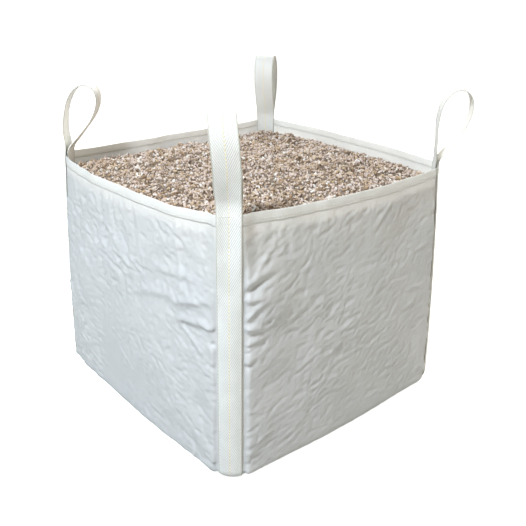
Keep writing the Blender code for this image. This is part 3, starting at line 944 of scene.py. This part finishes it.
def web_columns():
    """Places across the webbing, closer together at its edges, and the share of its thickness at each."""
    half = WEB_WIDTH / 2
    inner = np.linspace(-half + 0.0012, half - 0.0012, 33)
    acrosses = np.concatenate([[-half, -half + 0.0004], inner, [half - 0.0004, half]])
    edge = np.clip((half - np.abs(acrosses)) / 0.0012, 0.0, 1.0)
    return acrosses, 0.35 + 0.65 * np.sqrt(1 - (1 - edge) ** 2)


def add_webbing(corner):
    """One strip of webbing: up the corner, over the lifting loop and down inside the rim."""
    acrosses, thick = web_columns()
    seed = 200 + list(CORNERS).index(corner)
    top = corner_top(corner)
    lift = WEB_CLEARANCE + WEB_THICKNESS / 2
    radius = BOTTOM_RADIUS + lift
    roll_length = radius * math.radians(90.0 - STRAP_START_TURN)
    turns = np.linspace(STRAP_START_TURN, 90.0, int(round(roll_length / WEB_STEP)))
    roll_angle = angles_across(corner, acrosses, BOTTOM_RADIUS, lift)
    rolled = [roll_points(roll_angle, turn, lift) for turn in turns[:-1]]
    count = int(round((top - BOTTOM_RADIUS) / WEB_STEP))
    heights = np.linspace(BOTTOM_RADIUS, top, count + 1)
    rim_share = smooth((heights - (top - 0.036)) / 0.01)
    upright = corner_rows(corner, acrosses, heights, lift + 0.0006 * rim_share)
    strap = np.concatenate([np.array(rolled), upright])

    inner_lift = -(CAD_FABRIC + WEB_CLEARANCE + WEB_THICKNESS / 2)
    inner_count = int(round(INNER_LEG_LENGTH / WEB_STEP))
    inner_heights = np.linspace(top, top - INNER_LEG_LENGTH, inner_count + 1)
    inner = corner_rows(corner, acrosses, inner_heights, inner_lift)

    centre, width, normal, high = loop_rows(corner)
    flat = centre[:, None, :] + width[:, None, :] * acrosses[None, :, None]
    cup = 0.0012 * smooth(high / 0.08)[:, None] * (1 - (2 * acrosses / WEB_WIDTH) ** 2)[None, :]
    wander = 0.0012 * noise(seed, high[:, None] / 0.07 + 3.0, acrosses[None, :] / 0.05)
    wander = wander * smooth(high / 0.05)[:, None]
    flat = flat + normal[:, None, :] * (cup + wander)[:, :, None]
    steps = len(centre)
    first = np.arange(steps) < steps / 2
    middle = len(acrosses) // 2
    bent_out = strap[-1] - strap[-1][middle]
    bent_in = inner[0] - inner[0][middle]
    bent = centre[:, None, :] + np.where(first[:, None, None], bent_out[None], bent_in[None])
    straight = smooth((high + 0.004) / 0.075)[:, None, None]
    loop = flat * straight + bent * (1 - straight)

    rows = np.concatenate([strap, loop, inner])
    outer_root, inner_root = len(strap), len(strap) + steps
    roots = (
        (outer_root - ROOT_ROWS_ON_BAG, outer_root + ROOT_ROWS_ON_LOOP + 1),
        (inner_root - ROOT_ROWS_ON_LOOP, inner_root + ROOT_ROWS_ON_BAG + 1),
    )
    for _ in range(ROOT_SMOOTHINGS):
        for start, end in roots:
            before, after = rows[start - 1 : end - 1], rows[start + 1 : end + 1]
            rows[start:end] = (before + rows[start:end] * 2 + after) / 4
    along = np.gradient(rows, axis=0)
    beside = np.gradient(rows, axis=1)
    out = np.cross(beside, along)
    out /= np.linalg.norm(out, axis=2)[:, :, None]
    lengths = running_lengths(*rows[:, middle].T)
    phase = np.abs(acrosses)[None, :] / RIB_PITCH - lengths[:, None] / (RIB_PITCH * RIB_STEEPNESS)
    rib = RIB_HEIGHT * (np.sin(2 * np.pi * phase) + 0.35 * np.sin(4 * np.pi * phase + 0.6))
    rib = rib * smooth((WEB_WIDTH / 2 - np.abs(acrosses)) / 0.003)[None, :]
    marker = 0.00025 * hump(acrosses, 0.0012)[None, :]
    half = WEB_THICKNESS / 2 * thick[None, :]
    outer = rows + out * (half + rib + marker)[:, :, None]
    back = rows - out * (half - rib * 0.6 + marker)[:, :, None]
    uv = np.stack(np.broadcast_arrays(acrosses[None, :], lengths[:, None]), axis=-1)
    made = add_slab(f"{corner}_webbing", outer, back, uv)
    nodes = [f"{corner}_strap", f"{corner}_inner_leg", f"{corner}_lift_loop"]
    finish_piece(made, None, WEBBING, nodes)
    pivot = corner_frame(corner)[0]
    start, end = pivot - np.array([0.0, 0.0, BEND_BELOW]), pivot + np.array([0.0, 0.0, BEND_ABOVE])
    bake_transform(made)
    return made, float(lengths[-1])


def add_strap_threads(corner):
    """Stitching down both edges of a corner strap, and one row across it below the rim."""
    top = corner_top(corner)
    half = WEB_WIDTH / 2
    lift = WEB_CLEARANCE + WEB_THICKNESS + 0.0002
    heights = np.linspace(0.050, top - 0.012, 180)
    middle = corner_rows(corner, np.array([0.0]), heights, lift)[:, 0]
    runs = []
    for across in (-half + 0.0045, half - 0.0045):
        line = corner_rows(corner, np.array([across]), heights, lift)[:, 0]
        away = outward_of(line)
        out = np.cross([0.0, 0.0, 1.0], (line - middle) / across)
        out = out * np.sign((out * away).sum(axis=1))[:, None]
        runs.append((line, (away + out) / 2))
    acrosses = np.linspace(-half + 0.0055, half - 0.0055, 30)
    line = corner_rows(corner, acrosses, [top - 0.0125], lift + 0.0006)[0]
    runs.append((line, outward_of(line)))
    nodes = [f"{corner}_stitching_left", f"{corner}_stitching_right", f"{corner}_bar_tack"]
    add_threads(f"{corner}_threads", runs, nodes)


# ---- base ----
def square_place(u, v):
    """How far out a point of the square from -1 to 1 lies, as a share, and its plan angle."""
    share = np.maximum(np.abs(u), np.abs(v))
    return share, np.degrees(np.arctan2(v, u))


BASE_STEPS = 90
SEAM_ANGLES = np.degrees(np.arctan(np.linspace(-1.0, 1.0, 121)))[:-1]


def add_base():
    """The base cloth on the floor, with slight rises where the load presses unevenly, and its seam tape."""
    side = np.linspace(-1.0, 1.0, BASE_STEPS + 1)
    u, v = np.meshgrid(side, side)
    share, angle = square_place(u, v)
    x, y = plan_points(angle, np.zeros(angle.shape), -BOTTOM_RADIUS + 0.001)
    x, y = x * share, y * share
    rise = 0.0009 * (1 + noise(71, x / 0.16, y / 0.13)) * smooth((1 - share) / 0.08)
    low = np.stack([x, y, rise], axis=-1)
    high = low + np.array([0.0, 0.0, CLOTH])
    uv = np.stack([x, y], axis=-1)
    made = add_slab("base_cloth", high, low, uv)
    finish_piece(made, "bag", PANEL_CLOTH, ["base_panel"])

    ring = np.concatenate([SEAM_ANGLES + centre for centre in SIDES.values()])
    rows = []
    for inset in (BOTTOM_RADIUS - 0.0008, BOTTOM_RADIUS + 0.003, BOTTOM_RADIUS + 0.008):
        x, y = plan_points(ring, np.zeros(ring.shape), -inset)
        ripple = 0.0003 * noise(72, x / 0.015, y / 0.015)
        rows.append(np.stack([x, y, 0.0030 + np.abs(ripple)], axis=-1))
    tape = np.array(rows)
    under = tape - np.array([0.0, 0.0, 0.0007])
    tape_uv = np.stack(np.broadcast_arrays(ring / 100.0, np.arange(3)[:, None] * 0.004), axis=-1)
    seam = add_slab("base_seam_tape", tape, under, tape_uv, closed=True)
    finish_piece(seam, "bag", THREAD, ["base_seam"])
    return made, seam


# ---- gravel ----
BED_STEPS = 190
# the two layers of loose stones: name, pitch, smallest and largest radius, and seed
STONES = (("gravel_coarse", 0.0106, 0.0034, 0.0070, 311), ("gravel_fine", 0.0092, 0.0021, 0.0038, 313))
STONE_STRETCHES = ((0.95, 1.75), (0.75, 1.1), (0.55, 0.85))


def load_heights(angle, share):
    """The CAD load's surface: it follows the rim at its edge and swells to a lumpy crown."""
    edge = rim_heights(angle) - LOAD_EDGE_BELOW_RIM
    mean = np.mean(list(RIM_HEIGHT.values())) - LOAD_EDGE_BELOW_RIM
    x, y = plan_points(angle, np.ones(angle.shape), -LOAD_DEPTH)
    x, y = x * share, y * share
    swell = 1.0
    for place, crown, spread in zip((x, y), LOAD_CROWN_AT, LOAD_CROWN_SPREAD):
        swell = swell - (place - crown) ** 2 / spread
    lumps = sum(size * np.sin(kx * x + ky * y + phase) for size, kx, ky, phase in LOAD_WAVES)
    fade = 1 - share**4
    return edge * share**3 + mean * (1 - share**3) + (LOAD_MOUND * np.maximum(swell, 0.0) + lumps) * fade


def gravel_place(u, v, depth):
    """Place on the gravel's surface of a point of the square from -1 to 1, depth inside the wall's face."""
    share, angle = square_place(u, v)
    edge = wall_points(angle, load_heights(angle, np.ones(angle.shape)), -depth)
    x, y = edge[..., 0] * share, edge[..., 1] * share
    heaps = 0.0060 * noise(81, x / 0.16, y / 0.13)
    furrows = crinkle(83, x, y, 28.0, 0.20, 0.075) * 0.019 + crinkle(87, x, y, -35.0, 0.11, 0.045) * 0.012
    clumps = 0.0100 * noise(91, x / 0.034, y / 0.027) + 0.0052 * noise(92, x / 0.015, y / 0.013)
    inside = smooth((1 - share) / 0.06) * 0.8 + 0.2
    return x, y, load_heights(angle, share) + (heaps + furrows + clumps) * inside - 0.002


def add_gravel():
    """The bed of gravel that fills the bag, and the loose stones that lie on it."""
    side = np.linspace(-1.0, 1.0, BED_STEPS + 1)
    u, v = np.meshgrid(side, side)
    random = np.random.default_rng(301)
    share, angle = square_place(u, v)
    x, y, z = gravel_place(u, v, LOAD_DEPTH)
    z = z + np.where(share > 0.995, 0.0, random.uniform(-0.0022, 0.0014, z.shape))
    top = np.stack([x, y, z], axis=-1)
    floor_x, floor_y = plan_points(angle, np.zeros(angle.shape), -BOTTOM_RADIUS)
    floor = np.stack([floor_x * share, floor_y * share, np.full(z.shape, LOAD_DEPTH)], axis=-1)
    count = BED_STEPS + 1
    index = np.arange(count * count).reshape(count, count)
    edge = np.concatenate([index[0], index[1:, -1], index[-1, -2::-1], index[-2:0:-1, 0]])
    edge_angle = angle.reshape(-1)[edge]
    edge_height = z.reshape(-1)[edge]
    walls = []
    for height_share in (0.75, 0.5, 0.25, 0.0):
        height = BOTTOM_RADIUS + height_share * (edge_height - BOTTOM_RADIUS)
        walls.append(wall_points(edge_angle, height, -LOAD_DEPTH))
    walls.append(roll_points(edge_angle, 45.0, -LOAD_DEPTH))
    points = [top.reshape(-1, 3), *walls, floor.reshape(-1, 3)]
    faces = []
    a, b, c, d = index[:-1, :-1], index[:-1, 1:], index[1:, 1:], index[1:, :-1]
    faces.append(np.stack([a, b, c, d], axis=-1).reshape(-1, 4))
    rings = [edge]
    shift = count * count
    for _ in walls:
        rings.append(np.arange(len(edge)) + shift)
        shift += len(edge)
    rings.append(edge + shift)
    for upper, lower in zip(rings, rings[1:]):
        after_upper, after_lower = np.roll(upper, -1), np.roll(lower, -1)
        faces.append(np.stack([upper, lower, after_lower, after_upper], axis=-1))
    faces.append(faces[0][:, ::-1] + shift)
    points = np.concatenate(points)
    tone = np.clip(random.normal(0.42, 0.20, len(points)), 0.0, 1.0)
    # painted shade: the dark bed shows through the gaps between the stones
    bed = add_mesh("gravel_bed", points, np.concatenate(faces), smooth_faces=False, values={"tone": tone})
    finish_piece(bed, "bag", SHADED_GRAVEL_BED, ["gravel_load"])

    for layer in STONES:
        add_stones(*layer)


def icosahedron():
    """The twelve corners of an icosahedron of radius 1."""
    golden = (1 + 5**0.5) / 2
    corners = []
    for first in (-1.0, 1.0):
        for second in (-golden, golden):
            corners.extend([(0.0, first, second), (first, second, 0.0), (second, 0.0, first)])
    return np.array(corners) / math.hypot(1.0, golden)


def add_stones(name, pitch, smallest, largest, seed):
    """One piece of many separate angular stones that lie on the gravel's surface."""
    random = np.random.default_rng(seed)
    steps = int(0.90 / pitch)
    grid = (np.arange(steps) + 0.5) / steps * 2 - 1
    u, v = np.meshgrid(grid, grid)
    u = np.clip(u + random.uniform(-0.9, 0.9, u.shape) / steps, -0.992, 0.992).ravel()
    v = np.clip(v + random.uniform(-0.9, 0.9, v.shape) / steps, -0.992, 0.992).ravel()
    x, y, z = gravel_place(u, v, LOAD_DEPTH + 0.004)
    size = smallest + (largest - smallest) * random.beta(1.6, 2.6, len(x))
    centre = np.stack([x, y, z + size * random.uniform(-0.15, 0.55, len(x))], axis=-1)
    base = icosahedron()
    shape = base[None] * random.uniform(0.72, 1.18, (len(x), len(base), 1))
    stretch = np.stack([random.uniform(low, high, len(x)) for low, high in STONE_STRETCHES], axis=-1)
    shape = shape * (stretch * size[:, None])[:, None, :]
    quaternion = random.normal(0.0, 1.0, (len(x), 4))
    quaternion /= np.linalg.norm(quaternion, axis=1)[:, None]
    twice = 2 * np.cross(quaternion[:, None, 1:], shape)
    shape = shape + quaternion[:, None, :1] * twice + np.cross(quaternion[:, None, 1:], twice)
    points = shape + centre[:, None, :]
    faces = hull_faces(base)
    every = (faces[None] + (np.arange(len(x)) * len(base))[:, None, None]).reshape(-1, 3)
    patch = 0.16 * noise(93, x / 0.030, y / 0.024) + 0.10 * noise(94, x / 0.09, y / 0.08)
    tone = np.clip(random.normal(0.55, 0.20, len(x)) + patch, 0.02, 1.0)
    tone = np.where(random.uniform(0, 1, len(x)) < 0.06, random.uniform(0.9, 1.0, len(x)), tone)
    tones = np.repeat(tone, len(base))
    made = add_mesh(name, points, every, smooth_faces=False, values={"tone": tones})
    finish_piece(made, "bag", GRAVEL_STONES, [])


def hull_faces(base):
    """The twenty faces of the icosahedron with these corners, facing out."""
    gaps = np.linalg.norm(base[:, None] - base[None], axis=2)
    edge = np.min(gaps[gaps > 1e-6]) * 1.01
    faces = []
    for a in range(len(base)):
        for b in range(a + 1, len(base)):
            for c in range(b + 1, len(base)):
                if max(gaps[a, b], gaps[b, c], gaps[a, c]) < edge:
                    normal = np.cross(base[b] - base[a], base[c] - base[a])
                    faces.append((a, b, c) if normal @ base[a] > 0 else (a, c, b))
    return np.array(faces)


# ---- the bag ----
panels = {side: add_panel(side) for side in SIDES}
hems = {side: add_hem(side) for side in SIDES}
hem_threads = {side: add_hem_threads(side) for side in SIDES}
base_cloth, base_tape = add_base()
webbing = {corner: add_webbing(corner) for corner in CORNERS}
for corner in CORNERS:
    add_strap_threads(corner)
add_gravel()

# ---- floor and light ----
FLOOR_REACH = 90.0
FLOOR_HEIGHT = -0.0005
LIGHTS_AIM = (0.0, 0.0, 0.45)
# name, azimuth, elevation, distance, size, power and colour
LIGHTS = (
    ("key", -66.0, 46.0, 4.5, 0.7, 208.0, (0.90, 0.965, 1.02)),
    ("sky", -125.0, 20.0, 5.0, 3.0, 30.0, (0.50, 0.80, 1.0)),
    ("warm", 20.0, 12.0, 5.0, 3.0, 38.0, (1.0, 0.88, 0.64)),
    ("side", 95.0, 14.0, 5.0, 3.0, 150.0, (1.0, 0.985, 0.95)),
    ("back", 140.0, 38.0, 5.0, 3.0, 250.0, (1.0, 0.965, 0.91)),
)


def add_floor():
    """A pale floor that looks as white as the background."""
    ends = ((-1, -1), (1, -1), (1, 1), (-1, 1))
    corners = [(x * FLOOR_REACH, y * FLOOR_REACH, FLOOR_HEIGHT) for x, y in ends]
    floor = add_mesh("floor", corners, [(0, 1, 2, 3)], smooth_faces=False)
    n = Nodes("pale_floor")
    cloud = n.noise(n.add("TexCoord").outputs["Object"], 3.0, 2.0)
    colour = n.ramp(cloud, ((0.3, (0.60, 0.595, 0.58)), (0.7, (0.63, 0.625, 0.61))))
    n.link(colour, n.shader.inputs["Base Color"])
    n.shader.inputs["Roughness"].default_value = 0.9
    n.shader.inputs["Specular IOR Level"].default_value = 0.1
    glow = n.add("Emission", {"Color": (1.0, 1.0, 1.0, 1.0), "Strength": 0.95})
    both = n.add("AddShader", {0: n.shader.outputs[0], 1: glow.outputs[0]})
    seen = n.add("LightPath").outputs["Is Camera Ray"]
    mixed = n.add("MixShader", {"Fac": seen, 1: n.shader.outputs[0], 2: both.outputs[0]})
    n.link(mixed.outputs[0], n.output.inputs["Surface"])
    floor.data.materials.append(n.material)


def add_light(name, azimuth, elevation, distance, size, power, colour):
    """A round area light that shines on the bag."""
    back = direction(azimuth, elevation)
    data = bpy.data.lights.new(name, "AREA")
    data.shape = "DISK"
    data.size = size
    data.energy = power
    data.color = colour
    light = link_object(name, data)
    light.location = Vector(LIGHTS_AIM) + back * distance
    light.rotation_mode = "QUATERNION"
    light.rotation_quaternion = back.to_track_quat("Z", "Y")


def add_world():
    """A background that the camera sees as white and that lights the bag faintly."""
    world = bpy.data.worlds.new("studio")
    bpy.context.scene.world = world
    world.use_nodes = True
    tree = world.node_tree
    seen = tree.nodes["Background"]
    seen.inputs["Color"].default_value = (1.0, 1.0, 1.0, 1.0)
    seen.inputs["Strength"].default_value = 1.0
    lit = tree.nodes.new("ShaderNodeBackground")
    lit.inputs["Color"].default_value = (1.0, 0.975, 0.92, 1.0)
    lit.inputs["Strength"].default_value = 0.17
    path = tree.nodes.new("ShaderNodeLightPath")
    mix = tree.nodes.new("ShaderNodeMixShader")
    tree.links.new(path.outputs["Is Camera Ray"], mix.inputs["Fac"])
    tree.links.new(lit.outputs[0], mix.inputs[1])
    tree.links.new(seen.outputs[0], mix.inputs[2])
    tree.links.new(mix.outputs[0], tree.nodes["World Output"].inputs["Surface"])


add_floor()
add_world()
for light in LIGHTS:
    add_light(*light)
bpy.context.scene.view_settings.view_transform = "Standard"
